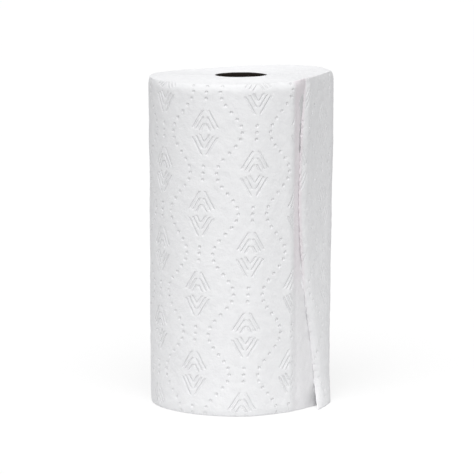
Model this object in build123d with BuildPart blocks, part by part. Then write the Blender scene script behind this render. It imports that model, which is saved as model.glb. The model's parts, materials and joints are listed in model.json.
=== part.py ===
from build123d import *

import os
from math import acos, cos, degrees, radians, sin

# A household paper towel roll, standing on its end.
#
# Origin: the centre of the core's bore in the bottom face, with +Z up the bore and the front at -Y.
# Azimuths are in degrees, from the front (-Y) towards the right-hand side (+X).
# The web is wound clockwise, seen from above, and its loose end comes round the right-hand side.

# --- Driving dimensions, in millimetres and degrees ---

web_width = 279.4               # one web, cut across with its core, sets the roll's height
web_thickness = 0.65            # two embossed plies, as wound
sheet_length = 279.4            # from one perforation line to the next

roll_radius = 77.5              # outside of the wound turns, where they are round
rim_radius = 2.0                # the outer turns round over at both ends
front_flat_azimuth = 28.0       # the soft roll is pressed a little flat at its front right,
front_flat_depth = 1.2
side_flat_azimuth = 67.0        # and more so beside that, under the loose end
side_flat_depth = 9.7
flat_easing = 4.0               # how softly the flats run into the round and each other

core_bore_radius = 20.6
core_wall = 0.7
core_glue_line = 0.05           # between the core and the first turn

loose_end_azimuth = 44.0        # free edge of the web, above its lifted corner
loose_end_root = 94.0           # where the last of the web leaves the turns beneath
loose_end_root_cover = 0.1      # the root starts this far inside the turns, to leave no step
loose_end_gap = 0.8             # how far the free edge stands off the turns at the top
loose_end_curl = 1.5            # power by which the gap grows from the root to the free edge
corner_lift = 9.7               # how much further the edge stands off at the bottom corner
corner_draw_back = 7.0          # the lifted corner is drawn back towards the root, in degrees
corner_lift_height = 170.0      # height at which the bottom corner begins to lift

perforation_slit = 5.0          # length of one slit
perforation_bond = 2.5          # paper left between one slit and the next
perforation_width = 0.4

pressed_side_points = 31        # how finely the curves below are drawn
loose_end_points = 9
loose_end_sections = 9

# --- Values worked out from them ---

core_outer_radius = core_bore_radius + core_wall
paper_bore_radius = core_outer_radius + core_glue_line
flats = ((front_flat_azimuth, front_flat_depth), (side_flat_azimuth, side_flat_depth))


def around(azimuth, radius):
    """The point at this azimuth and radius."""
    return (radius * sin(radians(azimuth)), -radius * cos(radians(azimuth)))


def reach(depth):
    """Angle from the middle of a flat of this depth to where its easing begins."""
    return degrees(acos((roll_radius - depth) / (roll_radius + flat_easing)))


def eased_smaller(first, second):
    """The smaller of two radii, eased where they are nearly equal."""
    easing = max(0.0, 1 - abs(first - second) / flat_easing)
    return min(first, second) - flat_easing * easing**2 / 4


def wound_radius(azimuth):
    """Radius of the wound turns: a circle, eased into the chord of each flat."""
    radius = roll_radius
    for flat_azimuth, depth in flats:
        if abs(azimuth - flat_azimuth) < reach(depth):
            chord = (roll_radius - depth) / cos(radians(azimuth - flat_azimuth))
            radius = eased_smaller(radius, chord)
    return radius


def spread(start, end, count):
    """This many evenly spaced values, from start to end."""
    return [start + (end - start) * step / (count - 1) for step in range(count)]


# --- The cardboard core ---

with BuildPart() as core_tube:
    with BuildSketch():
        Circle(core_outer_radius)
        Circle(core_bore_radius, mode=Mode.SUBTRACT)
    extrude(amount=web_width)

core_tube.part.label = "core_tube"


# --- The wound paper ---

pressed_start = front_flat_azimuth - reach(front_flat_depth)
pressed_end = side_flat_azimuth + reach(side_flat_depth)
pressed_side = [
    around(azimuth, wound_radius(azimuth))
    for azimuth in spread(pressed_start, pressed_end, pressed_side_points)
]

with BuildPart() as paper_roll:

    # The turns, out to the last one that lies tight: one long arc, and the pressed side.
    with BuildSketch():
        with BuildLine():
            pressed = Spline(*pressed_side)
            far_side = around((pressed_start + pressed_end) / 2 + 180, roll_radius)
            ThreePointArc(pressed @ 1, far_side, pressed @ 0)
        make_face()
    extrude(amount=web_width)
    ends = paper_roll.faces().filter_by(Axis.Z)
    fillet(ends.edges(), rim_radius)

    # The loose end of the web, a thin sheet lofted from the base to the top.
    # It springs from just inside the turns and stands further off them the nearer its edge.
    root_depth = web_thickness + loose_end_root_cover
    for height in spread(0, web_width, loose_end_sections):
        lift = max(0.0, 1 - height / corner_lift_height) ** 2
        edge_azimuth = loose_end_azimuth + corner_draw_back * lift
        edge_gap = loose_end_gap + corner_lift * lift
        inner_side = []
        outer_side = []
        for azimuth in spread(loose_end_root, edge_azimuth, loose_end_points):
            share = (loose_end_root - azimuth) / (loose_end_root - edge_azimuth)
            gap = (edge_gap + root_depth) * share**loose_end_curl - root_depth
            inner_radius = wound_radius(azimuth) + gap
            inner_side.append(around(azimuth, inner_radius))
            outer_side.append(around(azimuth, inner_radius + web_thickness))
        with BuildSketch(Plane.XY.offset(height)):
            with BuildLine():
                Spline(*inner_side)
                Spline(*outer_side)
                Line(inner_side[0], outer_side[0])
                Line(inner_side[-1], outer_side[-1])
            make_face()
    loft()

    # The core's place.
    with BuildSketch():
        Circle(paper_bore_radius)
    extrude(amount=web_width, mode=Mode.SUBTRACT)

    # The first perforation line, one sheet back along the web from its free edge.
    # Its slits go through the outermost turn only.
    perforation_azimuth = loose_end_azimuth + degrees(sheet_length / roll_radius)
    perforation_pitch = perforation_slit + perforation_bond
    slit_count = int((web_width - 2 * rim_radius) / perforation_pitch)
    slit_plane = Plane(
        origin=(*around(perforation_azimuth, wound_radius(perforation_azimuth)), web_width / 2),
        x_dir=(0, 0, 1),
        z_dir=(*around(perforation_azimuth, 1), 0),
    )
    with BuildSketch(slit_plane):
        with GridLocations(perforation_pitch, 0, slit_count, 1):
            Rectangle(perforation_slit, perforation_width)
    extrude(amount=web_thickness, both=True, mode=Mode.SUBTRACT)

paper_roll.part.label = "paper_roll"


# --- Written out, one file for each piece ---

os.makedirs("parts", exist_ok=True)
export_step(core_tube.part, "parts/core_tube.step")
export_step(paper_roll.part, "parts/paper_roll.step")

for piece in (core_tube, paper_roll):
    size = piece.part.bounding_box().size
    print(piece.part.label, round(piece.part.volume), "cubic mm,", size)
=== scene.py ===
"""The looks of the paper towel roll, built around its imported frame.

Lengths are in millimetres until a mesh is made, where MM turns them into metres. Only the floor
and the camera's distance are in metres from the start.
Azimuths are in degrees, from the front (-Y) towards the right-hand side (+X).
Along the web, s is the distance from its loose free edge, back round the roll.
"""

import json
import math

import bpy
import numpy as np
from mathutils import Matrix, Vector


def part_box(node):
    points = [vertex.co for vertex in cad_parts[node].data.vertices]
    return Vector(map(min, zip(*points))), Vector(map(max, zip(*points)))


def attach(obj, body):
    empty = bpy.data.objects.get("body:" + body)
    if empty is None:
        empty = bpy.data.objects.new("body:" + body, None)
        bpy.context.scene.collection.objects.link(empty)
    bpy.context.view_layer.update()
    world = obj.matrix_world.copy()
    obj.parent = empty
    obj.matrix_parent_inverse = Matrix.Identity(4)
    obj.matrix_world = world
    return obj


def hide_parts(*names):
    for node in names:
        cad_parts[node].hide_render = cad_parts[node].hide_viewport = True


MM = 0.001

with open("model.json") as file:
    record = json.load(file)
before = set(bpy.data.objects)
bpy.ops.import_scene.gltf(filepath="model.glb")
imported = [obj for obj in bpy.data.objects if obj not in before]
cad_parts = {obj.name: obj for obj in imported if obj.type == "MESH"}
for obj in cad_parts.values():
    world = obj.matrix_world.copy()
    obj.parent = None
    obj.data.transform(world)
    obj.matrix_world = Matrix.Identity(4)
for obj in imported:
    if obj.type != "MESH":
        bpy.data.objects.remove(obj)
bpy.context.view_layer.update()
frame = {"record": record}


# --- Sizes that the frame gives ---

paper_low, paper_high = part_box("paper_roll")
mounts = {mount["name"]: mount for mount in frame["record"]["mounts"]}
web_width = (paper_high.z - paper_low.z) / MM
roll_radius = -paper_low.x / MM
core_bore_radius = mounts["core_bore"]["dims"]["r_mm"]
core_outer_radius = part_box("core_tube")[1].x / MM


# --- The rest of the roll's shape, as in the part's source ---

web_thickness = 0.65
sheet_length = 279.4
flats_at_top = ((28.0, 1.2), (67.0, 9.7))       # azimuth and depth of each
flat_easing = 4.0
loose_end_azimuth = 44.0
loose_end_root = 94.0
loose_end_gap = 0.8
loose_end_curl = 1.5
corner_lift = 9.7
perforation_slit = 5.0
perforation_pitch = 7.5

turn_length = 2 * math.pi * roll_radius
loose_end_length = turn_length * (loose_end_root - loose_end_azimuth) / 360


# --- What only the eye meets: the soft roll isn't quite true ---

flats_at_base = ((30.0, 3.9), (52.0, 4.3))      # azimuth and depth of the same two, at the base
facing_limit = 0.5              # a flat's chord is followed no further than 60 degrees from its middle
far_bulge = (112.0, 30.0, 3.3)  # azimuth, spread and rise of a bulge beyond the flats
far_bulge_climb = 2.2           # how quickly it comes in, above the middle of the height
far_pinch = (98.0, 26.0, -2.5)  # azimuth, spread and rise of the pinch below it
far_pinch_top = 0.9             # share of the height at which the pinch has run out
high_rim = (125.0, 58.0, 3.2)   # azimuth, spread and rise of the top rim's high side
low_rim = (205.0, 26.0, -1.3)   # and of its low side
rim_rise_power = 2              # the rise falls away towards the core
top_rim = (3.0, 1.6)            # how far the outer turns lean in at the top, and how far they drop
base_rim = (1.6, 0.5)           # how far they lean in at the base, and how far they rise
rim_length = 9.0                # the rims round over this far along the roll
rim_depth = 8.0                 # and this far into its turns
rim_inset_power = 2.5           # how sharply they lean in towards the end
rim_drop_power = 2              # and drop towards the outside
sharp_rims = ((69.0, 29.0, 0.85), (268.0, 36.0, 0.6))   # azimuth, spread and share left unrounded
sharp_rim_power = 6             # how even the share is over that spread
lean_at_base = -1.0             # the roll leans a little to the right as it rises
lean_at_top = 0.4
core_lean_at_top = 1.1
lean_climb = 1.3                # how quickly it comes to its lean: all of it somewhat below the top
web_level = 0.65                # share of a turn, back from its free edge, at which the web is level


# --- What only the eye meets: the web's loose edge, with its groove and its lifted corner ---

groove = (33.0, 41.0, 46.0, 62.0)       # azimuths where its dip begins, and is deepest, and ends
groove_depth = 2.6
groove_fade_heights = (0.93, 0.06)      # it fades above this share of the height, over this share,
groove_fade = 0.7                       # and by this share of its depth
corner_lift_height = 28.0       # below this height the bottom corner stands off the turns,
corner_lift_power = 2.3         # the more so the nearer the base
corner_curl = 1.8               # power by which its gap grows from the root to the free edge
corner_draw_back = 16.5         # the edge above it is drawn back towards the root, in degrees,
corner_draw_heights = (5.0, 155.0)      # most at the first height and not at all at the second,
corner_swing = 9.5              # and the corner swings forward again where it stands off
top_draw_back = 6.4             # the top corner is drawn back too, in degrees,
top_draw_length = 55.0          # over this much of the edge
edge_bow = (178.0, 32.0, -1.9)  # height, spread and degrees of the edge's bow forward in between
edge_curl = 3.3                 # the free edge turns in by this much, till it meets the turns,
corner_edge_curl = 0.7          # and by this much at the lifted corner,
edge_curl_length = 11.0         # over this much of the web
edge_curl_power = 2


def smooth(share):
    """0 to 1, with no slope at either end."""
    share = np.minimum(np.maximum(share, 0), 1)
    return share * share * (3 - 2 * share)


def hump(azimuth, place, power=2):
    """A rise around one azimuth: a higher power gives a flatter top."""
    centre, spread, rise = place
    away = (azimuth - centre + 180) % 360 - 180
    return rise * np.exp(-(np.abs(away / spread) ** power))


def wound_radius(azimuth, height):
    """Radius of the wound turns: a circle, eased into the chord of each flat, and bulging past them."""
    climb = smooth(height / web_width)
    radius = roll_radius + 0.0 * (azimuth + height)
    for (base_azimuth, base_depth), (top_azimuth, top_depth) in zip(flats_at_base, flats_at_top):
        flat_azimuth = base_azimuth + (top_azimuth - base_azimuth) * climb
        depth = base_depth + (top_depth - base_depth) * climb
        facing = np.cos(np.radians(azimuth - flat_azimuth))
        chord = (roll_radius - depth) / np.maximum(facing, facing_limit)
        easing = np.maximum(1 - np.abs(radius - chord) / flat_easing, 0)
        radius = np.minimum(radius, chord) - flat_easing * easing**2 / 4
    pinch_share = smooth(1 - height / (far_pinch_top * web_width))
    bulge_share = smooth(far_bulge_climb * (height / web_width - 0.5))
    return radius + hump(azimuth, far_pinch) * pinch_share + hump(azimuth, far_bulge) * bulge_share


def lifting(v):
    """Share of the bottom corner's lift, at v up the web."""
    return np.clip(1 - v / corner_lift_height, 0, 1) ** corner_lift_power


def bow(v):
    """How far round the free edge bows, in degrees, at v up the web."""
    height, spread, degrees = edge_bow
    return degrees * np.exp(-(((v - height) / spread) ** 2))


def draw_back(v):
    """How far round the free edge is drawn back towards its root, in degrees, at v up the web."""
    low, high = corner_draw_heights
    at_base = corner_draw_back * smooth((high - v) / (high - low)) - corner_swing * lifting(v)
    return at_base + bow(v) + top_draw_back * smooth(1 - (web_width - v) / top_draw_length)


def groove_dip(azimuth, height):
    """How far the turns dip, beside and under the web's loose edge, wherever that edge is."""
    azimuth = azimuth % 360
    start, deep, deep_end, end = groove
    share = smooth((azimuth - bow(height) - start) / (deep - start))
    share = share * smooth((end + draw_back(height) - azimuth) / (end - deep_end))
    fade_start, fade_length = groove_fade_heights
    faded = groove_fade * smooth((height / web_width - fade_start) / fade_length)
    return groove_depth * share * (1 - faded)


def waves(u, v, swell, seed):
    """A soft random field, made of waves in all directions.

    A swell is its rise, its longest and its shortest wave, and the number of its waves.
    """
    rise, longest, shortest, count = swell
    random = np.random.default_rng(seed)
    total = np.zeros(np.broadcast(u, v).shape)
    for _ in range(count):
        length = random.uniform(shortest, longest)
        heading, phase = random.uniform(0, 2 * math.pi, 2)
        along = u * math.cos(heading) + v * math.sin(heading)
        total += np.sin(2 * math.pi * along / length + phase)
    return rise * (total / math.sqrt(count))


def rounded_over(azimuth, radius, height):
    """How far the rounding of the rims takes a point inwards, and how far up (or down, below 0)."""
    at_top = height > web_width / 2
    from_end = np.where(at_top, web_width - height, height)
    near_end = np.clip(1 - from_end / rim_length, 0, 1)
    near_outside = np.clip(1 - (wound_radius(azimuth, height) - radius) / rim_depth, 0, 1)
    share = 1 - sum(hump(azimuth, place, sharp_rim_power) for place in sharp_rims)
    inset = np.where(at_top, top_rim[0], base_rim[0]) * share * near_end**rim_inset_power * near_outside
    drop = np.where(at_top, -top_rim[1], base_rim[1]) * share * near_end * near_outside**rim_drop_power
    return inset, drop


def settled(azimuth, radius, height):
    """Points of the soft roll, in metres, from their place on the true one."""
    inset, drop = rounded_over(azimuth, radius, height)
    out = np.clip((radius - core_outer_radius) / (roll_radius - core_outer_radius), 0, 1)
    in_top_half = smooth(2 * height / web_width - 1)
    rise = (hump(azimuth, high_rim) + hump(azimuth, low_rim)) * out**rim_rise_power * in_top_half
    climb = smooth(lean_climb * height / web_width)
    lean_of_top = core_lean_at_top + (lean_at_top - core_lean_at_top) * out
    lean = lean_at_base * out * (1 - climb) + lean_of_top * climb
    angle = np.radians(azimuth)
    x = (radius - inset) * np.sin(angle) + lean
    y = -(radius - inset) * np.cos(angle)
    return np.stack([x, y, height + drop + rise], axis=-1) * MM


# --- Embossing: a plain trellis of dots, with a nest of three diamonds in each of its cells ---

column_pitch = 44.0
cell_height = 67.5
cell_start = 2.0                # height of the first diamond's middle in an even column
column_lean = 0.057             # the columns lean this far sideways for each unit of height
trellis_swing = 10.0
dots_in_cell = 12
dots_in_run = 3                 # in the middle of a column, between one diamond and the next
dot_radius = 1.6
dot_depth = 0.6
dot_sharpness = 1.5             # how steep its sides are, where 1 would make it a dome
diamond_half_width = 13.5
diamond_half_height = 22.5
diamond_sizes = (1.0, 0.7, 0.4)
stroke_half_width = 1.1
stroke_depth = 0.45
stroke_sharpness = 1.4
stroke_end = 0.15               # share of a side left plain at each of its corners
stroke_taper = 0.06             # share of a side over which a stroke comes to its full depth
loose_edge_u = turn_length * loose_end_azimuth / 360    # where the free edge lies over the turn beneath
free_edge_u = loose_edge_u - turn_length                # and the place of the free edge itself
plain_in_groove = (13.0, 6.0)   # it is smoothed out from this far beside the edge, over this much,
faint_on_loose_end = (72.0, 20.0)       # and fades this far from the free edge, over this much,
faintness = 0.5                         # by this share of its depth
emboss_in_bump = 1.0            # how much of it the material's bump adds to the mesh's own


def distance(x, y):
    """How far apart two points are, from how far apart they are along each axis."""
    return np.sqrt(x * x + y * y)


def embossing(u, v):
    """How far the web is pressed in, at u along it and v up it.

    It uses only what Field can turn into nodes, because the mesh and the material both follow it.
    """
    across = u - column_lean * v
    column = np.rint(across / column_pitch)
    du = np.absolute(across - column * column_pitch)
    dv = v - cell_start - np.remainder(column, 2) * (cell_height / 2)
    dv = np.remainder(dv + cell_height / 2, cell_height) - cell_height / 2

    # The trellis: dots at even heights, along a wave on either side of each column.
    dot_pitch = cell_height / dots_in_cell
    dot_v = np.rint(dv / dot_pitch) * dot_pitch
    dot_u = column_pitch / 2 + trellis_swing * np.cos(dot_v * (2 * math.pi / cell_height))
    from_trellis = distance(du - dot_u, dv - dot_v)
    from_middle = distance(du, dv - dot_v)
    in_run = np.greater(np.absolute(dot_v), cell_height / 2 - dots_in_run / 2 * dot_pitch)
    from_dot = from_trellis + in_run * (np.minimum(from_trellis, from_middle) - from_trellis)
    pressed = dot_depth * smooth(dot_sharpness - from_dot * (dot_sharpness / dot_radius))

    # The diamonds.
    dv = np.absolute(dv)
    size = du / diamond_half_width + dv / diamond_half_height
    slope = math.hypot(1 / diamond_half_width, 1 / diamond_half_height)
    for diamond in diamond_sizes:
        from_side = np.absolute(size - diamond) / slope
        along_side = dv / (diamond_half_height * diamond)
        from_end = np.minimum(along_side - stroke_end, 1 - stroke_end - along_side)
        stroke = smooth(stroke_sharpness - from_side * (stroke_sharpness / stroke_half_width))
        stroke = stroke * smooth(from_end / stroke_taper)
        pressed = np.maximum(pressed, stroke_depth * stroke)

    # It is smoothed out in the groove beside the free edge, and fainter on the loose end.
    reach, easing = plain_in_groove
    in_groove = smooth((u - (loose_edge_u - reach)) / easing)
    reach, easing = faint_on_loose_end
    on_loose_end = smooth((free_edge_u + reach - u) / easing)
    return pressed * (1 - in_groove) * (1 - faintness * on_loose_end)


# --- Meshes ---


def make_piece(name, points, faces, material, flat_from=None, web_place=None):
    """A smooth mesh from its points, in metres, and its faces. Faces from flat_from on are flat.

    web_place, where it is given, says where on the web each point is, along it and up it, in metres.
    """
    mesh = bpy.data.meshes.new(name)
    sizes = np.array([len(face) for face in faces])
    corners = np.concatenate([np.asarray(face) for face in faces])
    mesh.vertices.add(len(points))
    mesh.vertices.foreach_set("co", points.astype(np.float32).ravel())
    mesh.loops.add(len(corners))
    mesh.loops.foreach_set("vertex_index", corners.astype(np.int32))
    mesh.polygons.add(len(faces))
    starts = np.concatenate([[0], np.cumsum(sizes)[:-1]])
    mesh.polygons.foreach_set("loop_start", starts.astype(np.int32))
    mesh.update(calc_edges=True)
    mesh.validate()
    is_smooth = np.ones(len(faces), dtype=bool)
    if flat_from is not None:
        is_smooth[flat_from:] = False
    mesh.polygons.foreach_set("use_smooth", is_smooth)
    if web_place is not None:
        web_map = mesh.uv_layers.new(name="web")
        web_map.data.foreach_set("uv", web_place[corners].astype(np.float32).ravel())
    mesh.materials.append(material)
    piece = bpy.data.objects.new(name, mesh)
    bpy.context.scene.collection.objects.link(piece)
    return piece


def grid_faces(rows, columns, first=0, turned=False):
    """Quads of a grid of points, rows by columns, whose points start at first."""
    at = first + np.arange(rows * columns).reshape(rows, columns)
    corners = [at[:-1, :-1], at[:-1, 1:], at[1:, 1:], at[1:, :-1]]
    if turned:
        corners.reverse()
    return list(np.stack([c.ravel() for c in corners], axis=1))


def slab(name, outer, inner, web_place, step, material):
    """A thin closed sheet: a fine outer grid, an inner one coarser by step, and the edge round both.

    Each face of the edge joins one step of the coarse grid to as much of the fine one.
    """
    rows, columns = outer.shape[:2]
    inner_rows, inner_columns = inner.shape[:2]
    first = rows * columns
    points = np.concatenate([outer.reshape(-1, 3), inner.reshape(-1, 3)])
    inner_place = web_place[::step, ::step]
    web_place = np.concatenate([web_place.reshape(-1, 2), inner_place.reshape(-1, 2)])
    faces = grid_faces(rows, columns)
    faces += grid_faces(inner_rows, inner_columns, first, turned=True)
    rim_start = len(faces)
    fine = np.arange(first).reshape(rows, columns)
    coarse = first + np.arange(inner_rows * inner_columns).reshape(inner_rows, inner_columns)
    rims = (
        (fine[0, :], coarse[0, :], False),
        (fine[-1, :], coarse[-1, :], True),
        (fine[:, 0], coarse[:, 0], True),
        (fine[:, -1], coarse[:, -1], False),
    )
    for fine_rim, coarse_rim, turned in rims:
        for place in range(len(coarse_rim) - 1):
            run = fine_rim[place * step : (place + 1) * step + 1]
            face = [*run[::-1], coarse_rim[place], coarse_rim[place + 1]]
            faces.append(face[::-1] if turned else face)
    return make_piece(name, points, faces, material, rim_start, web_place)


# --- Materials ---

paper_tones = ((0.3, (0.845, 0.847, 0.86)), (0.7, (0.88, 0.882, 0.893)))
crepe_depth = 0.4
fibre_depth = 0.1
# Painted shade in the groove beside the loose edge and on the free edge: the paper is mixed towards
# this darker pink, as of warm light bounced between the sheets.
painted_shade_colour = (0.835, 0.795, 0.822, 1)
painted_shade_in_groove = (12.0, 5.0)   # it begins this far beside the loose edge, over this much,
painted_shade_on_edge = (4.0, 3.0)      # and ends this far from the free edge, over this much
painted_shade_heights = (90.0, 50.0)    # it is strong above this height, over this much,
painted_shade_at_base = 0.15            # and this strong below
# The board's own dark brown, taken nearly to black: painted shade, for the shade deep inside the bore.
board_tones_and_bore_shade = (
    (0.3, (0.010, 0.007, 0.005)),
    (0.55, (0.017, 0.012, 0.009)),
    (0.75, (0.030, 0.022, 0.017)),
)
grain_depth = 0.06


def new_material(name):
    """A material with nodes, its tree and its main shader."""
    material = bpy.data.materials.new(name)
    material.use_nodes = True
    tree = material.node_tree
    shader = tree.nodes["Principled BSDF"]
    return material, tree, shader


def noise(tree, scale, detail, roughness=0.5):
    """Noise over the piece's own place, scale to the metre."""
    place = tree.nodes.new("ShaderNodeTexCoord")
    node = tree.nodes.new("ShaderNodeTexNoise")
    node.inputs["Scale"].default_value = scale
    node.inputs["Detail"].default_value = detail
    node.inputs["Roughness"].default_value = roughness
    tree.links.new(place.outputs["Object"], node.inputs["Vector"])
    return node.outputs["Fac"]


def ramp(tree, value, stops):
    """Colours along a value: each stop is its position and its colour."""
    node = tree.nodes.new("ShaderNodeValToRGB")
    elements = node.color_ramp.elements
    while len(elements) < len(stops):
        elements.new(0.5)
    for element, (position, colour) in zip(elements, stops):
        element.position = position
        element.color = (*colour, 1)
    tree.links.new(value, node.inputs["Fac"])
    return node.outputs["Color"]


class Field(np.lib.mixins.NDArrayOperatorsMixin):
    """A number that varies over a surface: numpy's functions of it add math nodes to the tree."""

    operations = {
        np.add: "ADD",
        np.subtract: "SUBTRACT",
        np.multiply: "MULTIPLY",
        np.divide: "DIVIDE",
        np.minimum: "MINIMUM",
        np.maximum: "MAXIMUM",
        np.absolute: "ABSOLUTE",
        np.greater: "GREATER_THAN",
        np.remainder: "FLOORED_MODULO",
        np.rint: "ROUND",
        np.sqrt: "SQRT",
        np.cos: "COSINE",
    }

    def __init__(self, tree, socket):
        self.tree = tree
        self.socket = socket

    def __array_ufunc__(self, function, method, *values):
        node = self.tree.nodes.new("ShaderNodeMath")
        node.operation = self.operations[function]
        for value, socket in zip(values, node.inputs):
            if isinstance(value, Field):
                self.tree.links.new(value.socket, socket)
            else:
                socket.default_value = value
        return Field(self.tree, node.outputs["Value"])


def web_fields(tree):
    """The places along the web and up it, in millimetres, from the piece's web map."""
    web_map = tree.nodes.new("ShaderNodeUVMap")
    web_map.uv_map = "web"
    apart = tree.nodes.new("ShaderNodeSeparateXYZ")
    tree.links.new(web_map.outputs["UV"], apart.inputs["Vector"])
    return Field(tree, apart.outputs["X"]) / MM, Field(tree, apart.outputs["Y"]) / MM


def bump(tree, shader, layers):
    """Bumps one on another: each layer is a height, and how many millimetres a height of 1 is."""
    normal = None
    for value, depth in layers:
        node = tree.nodes.new("ShaderNodeBump")
        node.inputs["Distance"].default_value = depth * MM
        tree.links.new(value, node.inputs["Height"])
        if normal:
            tree.links.new(normal, node.inputs["Normal"])
        normal = node.outputs["Normal"]
    tree.links.new(normal, shader.inputs["Normal"])


def with_painted_shade(tree, colour, u, v):
    """Painted shade, a warm darker pink, in the groove beside the loose edge and on the edge itself."""
    reach, easing = painted_shade_in_groove
    in_groove = smooth((u - (loose_edge_u - reach)) / easing)
    reach, easing = painted_shade_on_edge
    on_edge = smooth((free_edge_u + reach - u) / easing)
    height, easing = painted_shade_heights
    strength = painted_shade_at_base + (1 - painted_shade_at_base) * smooth((v - height) / easing)
    share = np.maximum(in_groove, on_edge) * strength
    mix = tree.nodes.new("ShaderNodeMix")
    mix.data_type = "RGBA"
    tree.links.new(share.socket, mix.inputs["Factor"])
    tree.links.new(colour, mix.inputs["A"])
    mix.inputs["B"].default_value = painted_shade_colour
    return mix.outputs["Result"]


def paper_material(name, embossed):
    """White tissue: a faint mottle, with crepe and fibres, and embossing, finer than the mesh."""
    material, tree, shader = new_material(name)
    mottle = noise(tree, scale=140, detail=3)
    crepe = noise(tree, scale=420, detail=2, roughness=0.6)
    fibres = noise(tree, scale=1600, detail=3, roughness=0.7)
    colour = ramp(tree, mottle, paper_tones)
    shader.inputs["Roughness"].default_value = 0.95
    shader.inputs["Specular IOR Level"].default_value = 0.12
    layers = [(crepe, crepe_depth), (fibres, fibre_depth)]
    if embossed:
        u, v = web_fields(tree)
        layers.append(((0 - embossing(u, v)).socket, emboss_in_bump))
        # The groove and the free edge get painted shade, a darker pink.
        colour = with_painted_shade(tree, colour, u, v)
    tree.links.new(colour, shader.inputs["Base Color"])
    bump(tree, shader, layers)
    return material


def board_material():
    """Dark brown core board with flecks of other fibres, darkened as painted shade of the bore."""
    material, tree, shader = new_material("core_board")
    flecks = noise(tree, scale=700, detail=4, roughness=0.7)
    tree.links.new(ramp(tree, flecks, board_tones_and_bore_shade), shader.inputs["Base Color"])
    shader.inputs["Roughness"].default_value = 0.9
    shader.inputs["Specular IOR Level"].default_value = 0.2
    bump(tree, shader, [(flecks, grain_depth)])
    return material


embossed_paper = paper_material("towel_paper", embossed=True)
plain_paper = paper_material("towel_paper_ends", embossed=False)
board = board_material()


# --- The two outermost sheets of the web ---

broad_sag = (0.12, 70.0, 25.0, 14)      # swells that the web's face sags by
fine_sag = (0.08, 14.0, 6.0, 18)
stiff_end = 4.0                 # the sag and the embossing come in over this much from either end
bond_reach = 0.25               # how far the torn bonds of a perforated edge stand out,
slit_retreat = 0.3              # how far its slits stand back,
edge_fray = (0.1, 6.0, 1.8, 8)  # and the swells of its unevenness,
nick_reach = 2.0                # which runs out this far along the web
sheet_columns = 280
sheet_rows = 332
inner_step = 4                  # how much coarser the grid of a sheet's inner face is
sheet_gap = 0.3                 # between the sheets, along the perforation line
under_loose_end = 36.0          # how far past a whole turn the sheets run


def web_shape(s, v):
    """Azimuth and radius of the web's outer face, s back from the free edge and v up it."""
    lift = lifting(v)
    loose = np.clip(1 - s / loose_end_length, 0, 1)
    azimuth = loose_end_azimuth + 360 * s / turn_length + draw_back(v) * loose
    gap = loose_end_gap * loose**loose_end_curl + corner_lift * lift * loose**corner_curl
    curl = edge_curl + (corner_edge_curl - edge_curl) * lift
    curl = curl * np.clip(1 - s / edge_curl_length, 0, 1) ** edge_curl_power
    return azimuth, web_radius(azimuth, s, v) + gap - curl


def web_radius(azimuth, s, height):
    """Radius of the web's outer face where it lies tight, s back from its free edge."""
    dip = groove_dip(azimuth, height) * (s > loose_end_length)
    return wound_radius(azimuth, height) - dip + web_thickness * (web_level - s / turn_length)


def along_pattern(s):
    """Place along the embossed pattern, which has one of its columns at the front of the roll."""
    return s + free_edge_u


def web_points(s, v, depth=0.0):
    """Points of the web, at a depth below its outer face, which carries the embossing."""
    azimuth, radius = web_shape(s, v)
    u = along_pattern(s)
    sag = waves(u, v, broad_sag, seed=3) + waves(u, v, fine_sag, seed=4)
    pressed = embossing(u, v) if depth == 0 else 0.0
    away_from_ends = smooth(np.minimum(v, web_width - v) / stiff_end)
    radius = radius + (sag - pressed) * away_from_ends - depth
    return settled(azimuth, radius, v)


def edge_nicks(v, seed):
    """Sideways unevenness of a perforated edge: the slits stand back and the torn bonds stand out."""
    in_bond = (v % perforation_pitch) > perforation_slit
    return np.where(in_bond, bond_reach, -slit_retreat) + waves(v, 0.0, edge_fray, seed)


def web_sheet(name, start, end, nick_seed):
    """One sheet of the web, from start to end along it."""
    s = np.linspace(start, end, sheet_columns + 1)[None, :]
    v = np.linspace(0, web_width, sheet_rows + 1)[:, None]
    near_start = np.clip(1 - (s - start) / nick_reach, 0, 1)
    s = s - near_start * edge_nicks(v, nick_seed)
    v = v + 0 * s
    outer = web_points(s, v)
    inner = web_points(s[::inner_step, ::inner_step], v[::inner_step, ::inner_step], web_thickness)
    web_place = np.stack([along_pattern(s), v], axis=-1) * MM
    piece = slab(name, outer, inner, web_place, inner_step, embossed_paper)
    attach(piece, "root")
    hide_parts("paper_roll")


web_sheet("first_sheet", 0.0, sheet_length, nick_seed=11)
web_sheet("second_sheet", sheet_length + sheet_gap, turn_length + under_loose_end, nick_seed=12)


# --- The turns inside them, with the spiral of their cut edges at both ends ---

turns_start = turn_length + under_loose_end     # along the web, where the outer sheets leave off
turns_clearance = 0.1           # the last turn stays at least this far from the core
samples_per_turn = 3            # two on the cut edge itself and one between the turns
turn_segments = 160
turn_edge_drop = 0.35           # how far the cut edges fall away between one turn and the next
mean_inset = 0.35               # how far inside the roll's end they stand
turn_inset = (0.12, 60.0, 9.0, 14)      # swells of each turn's own inset,
turn_inset_pace = (9.0, 0.4)            # and how far along them a turn and a degree are
band_inset = (0.25, 30.0, 10.0, 8)      # swells of the inset of bands of turns,
band_inset_pace = 0.1                   # and how far along them a degree is
turn_wobble = (0.05, 90.0, 20.0, 10)    # swells of how evenly the turns are spaced,
turn_wobble_pace = 20.0                 # and how far along them a turn is
rounding_power = 1.5            # how quickly the turns come round inside the flats


def end_inset(azimuth, radius, turn, sample):
    """How far inside the roll's end the cut edges stand: each turn by a little of its own."""
    turn_pace, degree_pace = turn_inset_pace
    by_turn = waves(turn * turn_pace, azimuth * degree_pace, turn_inset, seed=21)
    by_band = waves(radius, azimuth * band_inset_pace, band_inset, seed=22)
    near_outside = np.clip(1 - (roll_radius - radius) / rim_depth, 0, 1)
    between_turns = sample == samples_per_turn - 1
    return (by_turn + by_band + mean_inset) * (1 - near_outside) + turn_edge_drop * between_turns


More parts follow.
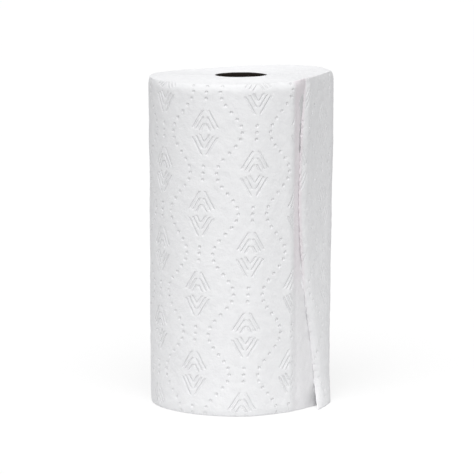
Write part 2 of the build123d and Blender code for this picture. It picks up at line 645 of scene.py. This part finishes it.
def end_points(top):
    """The grid of one end face: rows go inwards along the spiral, columns go round."""
    inner = core_outer_radius + turns_clearance
    turns = int((roll_radius - web_thickness - inner) / web_thickness)
    row = np.arange(turns * samples_per_turn)[:, None]
    column = np.arange(turn_segments)[None, :]
    turn = row / samples_per_turn + column / turn_segments
    s = turns_start + turn * turn_length
    azimuth = loose_end_azimuth + 360 * (turns_start / turn_length + column / turn_segments) + 0 * row
    end = web_width if top else 0.0
    round_side = 0 * azimuth + 180
    out_of_round = web_radius(azimuth, turns_start, end) - web_radius(round_side, turns_start, end)
    radius = web_radius(round_side, s, end)
    radius = radius + out_of_round * np.maximum(1 - turn / turns, 0) ** rounding_power
    wobble = waves(turn * turn_wobble_pace, azimuth, turn_wobble, seed=23)
    radius = radius + wobble * np.minimum(turn, 1)
    inwards = np.maximum(end_inset(azimuth, radius, np.floor(turn), row % samples_per_turn), 0.0)
    height = web_width - inwards if top else inwards
    return settled(azimuth, radius, height + 0 * radius)


def spiral_faces(rows, first, turned):
    """Quads of a spiral grid: past its last column, a row runs on into the next turn's."""
    at = first + np.arange(rows * turn_segments).reshape(rows, turn_segments)
    shift = samples_per_turn
    in_turn = [at[:-1, :-1], at[1:, :-1], at[1:, 1:], at[:-1, 1:]]
    into_next = [at[: -shift - 1, -1], at[1:-shift, -1], at[shift + 1 :, 0], at[shift:-1, 0]]
    runs = [np.stack([c.ravel() for c in corners], axis=1) for corners in (in_turn, into_next)]
    faces = np.concatenate(runs)
    return list(faces[:, ::-1] if turned else faces)


def spiral_rims(rows, first):
    """The closed loops of points at the start and the end of a spiral grid."""
    at = first + np.arange(rows * turn_segments).reshape(rows, turn_segments)
    start = [*at[0, :], *at[samples_per_turn:0:-1, 0]]
    end = [*at[-1, :], *at[-2 : -samples_per_turn - 2 : -1, -1]]
    return start, end


def wall(lower, upper):
    """Quads between two loops with as many points each."""
    faces = []
    for place in range(len(lower)):
        after = (place + 1) % len(lower)
        faces.append([lower[place], lower[after], upper[after], upper[place]])
    return faces


def make_wound_turns():
    """The inner turns, as one closed solid."""
    top = end_points(top=True)
    bottom = end_points(top=False)
    rows = top.shape[0]
    count = rows * turn_segments
    points = np.concatenate([bottom.reshape(-1, 3), top.reshape(-1, 3)])
    faces = spiral_faces(rows, 0, turned=True) + spiral_faces(rows, count, turned=False)
    bottom_outside, bottom_inside = spiral_rims(rows, 0)
    top_outside, top_inside = spiral_rims(rows, count)
    faces += wall(bottom_outside, top_outside) + wall(top_inside, bottom_inside)
    piece = make_piece("wound_turns", points, faces, plain_paper)
    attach(piece, "root")
    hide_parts("paper_roll")


make_wound_turns()


# --- The core ---

core_rows = 186
core_columns = 144
core_recess = 0.8               # the core ends this far inside the paper's ends at the top
core_recess_below = 0.2         # and this far inside them at the base
core_cut = (0.08, 9.0, 2.0, 9)  # swells of the cut at its top
core_cut_pace = 0.36            # and how far along them a degree is
core_seam_pitch = 96.0          # height that the spiral seam climbs in one turn
core_seam_reach = 1.25          # from its middle to either side
core_seam_depth = 0.15


def core_seam(azimuth, height):
    """Depth of the shallow spiral joint between the strips of board."""
    climb = (height - azimuth / 360 * core_seam_pitch) % core_seam_pitch
    away = np.minimum(climb, core_seam_pitch - climb)
    return core_seam_depth * smooth(1 - away / core_seam_reach)


def make_core_board():
    """The tube, as a closed skin that goes up its inside and down its outside.

    The outside, which the paper hides, has only the rows at its two ends.
    """
    azimuth = np.arange(core_columns)[None, :] * 360.0 / core_columns
    height = np.linspace(core_recess_below, web_width - core_recess, core_rows)[:, None]
    cut = waves(azimuth * core_cut_pace, 0.0, core_cut, seed=31)
    height = height + cut * (height > web_width / 2)
    azimuth = azimuth + 0 * height
    inside = settled(azimuth, core_bore_radius + core_seam(azimuth, height), height)
    end_height = height[:: core_rows - 1]
    end_azimuth = azimuth[:: core_rows - 1]
    outside = settled(end_azimuth, core_outer_radius + 0 * end_height, end_height)
    skin = np.concatenate([inside, outside[::-1]])
    rows = len(skin)
    at = np.arange(rows * core_columns).reshape(rows, core_columns)
    after_row = np.roll(at, -1, axis=0)
    corners = [at, np.roll(at, -1, axis=1), np.roll(after_row, -1, axis=1), after_row]
    faces = list(np.stack([c.ravel() for c in corners], axis=1)[:, ::-1])
    inside_faces = (core_rows - 1) * core_columns
    piece = make_piece("core_board", skin.reshape(-1, 3), faces, board, flat_from=inside_faces)
    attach(piece, "root")
    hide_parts("core_tube")


make_core_board()


# --- Floor, light and camera ---

floor_size = 30.0
floor_glow = 1.06               # the glow and the lit floor together come to just over white
floor_glow_share = 0.65         # of what the camera sees of the floor
floor_white = 0.86
floor_far = 0.4                 # the colour that lights the object from beyond the white strip
strip_edge = (0.6, 1.0)         # where the strip begins to darken and ends, on either side
world_strength = 0.38           # of the light from all round on the object
key_azimuth = -5
key_elevation = 63
key_strength = 2.4
key_spread = 50                 # how wide the softbox looks from the object, in degrees
camera_target = (-3.34, 0.0, 140.1)     # in millimetres
camera_distance = 2.375
camera_pitch = 8.82             # how far it looks down, in degrees
camera_roll = -0.5
camera_lens = 211.4
camera_sensor = 36.0


def seen_directly(tree, amount, otherwise=0.0):
    """amount for rays from the camera, mirrors and glass, and otherwise for the light on the object."""
    path = tree.nodes.new("ShaderNodeLightPath")
    total = path.outputs["Is Camera Ray"]
    for kind in ("Is Glossy Ray", "Is Transmission Ray"):
        add = tree.nodes.new("ShaderNodeMath")
        add.operation = "MAXIMUM"
        tree.links.new(total, add.inputs[0])
        tree.links.new(path.outputs[kind], add.inputs[1])
        total = add.outputs["Value"]
    scale = tree.nodes.new("ShaderNodeMath")
    scale.operation = "MULTIPLY_ADD"
    scale.inputs[1].default_value = amount - otherwise
    scale.inputs[2].default_value = otherwise
    tree.links.new(total, scale.inputs[0])
    return scale.outputs["Value"]


def make_floor():
    """A pale floor. Most of what the camera sees of it is a glow, so that its shadow is faint.

    The light that it throws on the object comes from a white strip, from front to back, as from a
    roll of backdrop paper, so the sides of the object are a little darker towards the top.
    """
    bpy.ops.mesh.primitive_plane_add(size=floor_size, location=(0, 0, 0))
    floor = bpy.context.object
    floor.name = "floor"
    material, tree, shader = new_material("floor")
    place = tree.nodes.new("ShaderNodeTexCoord")
    apart = tree.nodes.new("ShaderNodeSeparateXYZ")
    tree.links.new(place.outputs["Object"], apart.inputs["Vector"])
    near, far = strip_edge
    aside = np.absolute(Field(tree, apart.outputs["X"]))
    unseen = 1 - Field(tree, seen_directly(tree, 1.0))
    grey = floor_white + (floor_far - floor_white) * smooth((aside - near) / (far - near)) * unseen
    tree.links.new(grey.socket, shader.inputs["Base Color"])
    shader.inputs["Roughness"].default_value = 1.0
    shader.inputs["Specular IOR Level"].default_value = 0.0
    glow = tree.nodes.new("ShaderNodeEmission")
    glow.inputs["Color"].default_value = (1, 1, 1, 1)
    glow.inputs["Strength"].default_value = floor_glow
    both = tree.nodes.new("ShaderNodeMixShader")
    tree.links.new(seen_directly(tree, floor_glow_share), both.inputs["Fac"])
    tree.links.new(shader.outputs["BSDF"], both.inputs[1])
    tree.links.new(glow.outputs["Emission"], both.inputs[2])
    tree.links.new(both.outputs["Shader"], tree.nodes["Material Output"].inputs["Surface"])
    floor.data.materials.append(material)


def make_world():
    """White all round: full white to the camera, and softer on the object."""
    world = bpy.data.worlds.new("studio")
    world.use_nodes = True
    tree = world.node_tree
    background = tree.nodes["Background"]
    background.inputs["Color"].default_value = (1, 1, 1, 1)
    tree.links.new(seen_directly(tree, 1.0, world_strength), background.inputs["Strength"])
    bpy.context.scene.world = world


def make_key_lamp():
    """A wide, even softbox, far enough away to light the floor the same all over."""
    light = bpy.data.lights.new("key", "SUN")
    light.energy = key_strength
    light.angle = math.radians(key_spread)
    lamp = bpy.data.objects.new("key", light)
    lamp.rotation_euler = (math.radians(90 - key_elevation), 0, math.radians(key_azimuth))
    bpy.context.scene.collection.objects.link(lamp)


def make_camera():
    """The photographer's view: a long lens, from a little above, and tilted by half a degree."""
    pitch = math.radians(camera_pitch)
    roll = math.radians(camera_roll)
    target = Vector(camera_target) * MM
    ahead = Vector((0, math.cos(pitch), -math.sin(pitch)))
    right = Vector((1, 0, 0))
    up = right.cross(ahead)
    right_rolled = right * math.cos(roll) + up * math.sin(roll)
    up_rolled = up * math.cos(roll) - right * math.sin(roll)
    camera = bpy.data.objects.new("camera", bpy.data.cameras.new("camera"))
    camera.data.lens = camera_lens
    camera.data.sensor_width = camera_sensor
    turned = Matrix((right_rolled, up_rolled, -ahead)).transposed().to_4x4()
    camera.matrix_world = Matrix.Translation(target - ahead * camera_distance) @ turned
    bpy.context.scene.collection.objects.link(camera)
    bpy.context.scene.camera = camera


make_floor()
make_world()
make_key_lamp()
make_camera()
bpy.context.scene.view_settings.view_transform = "Standard"
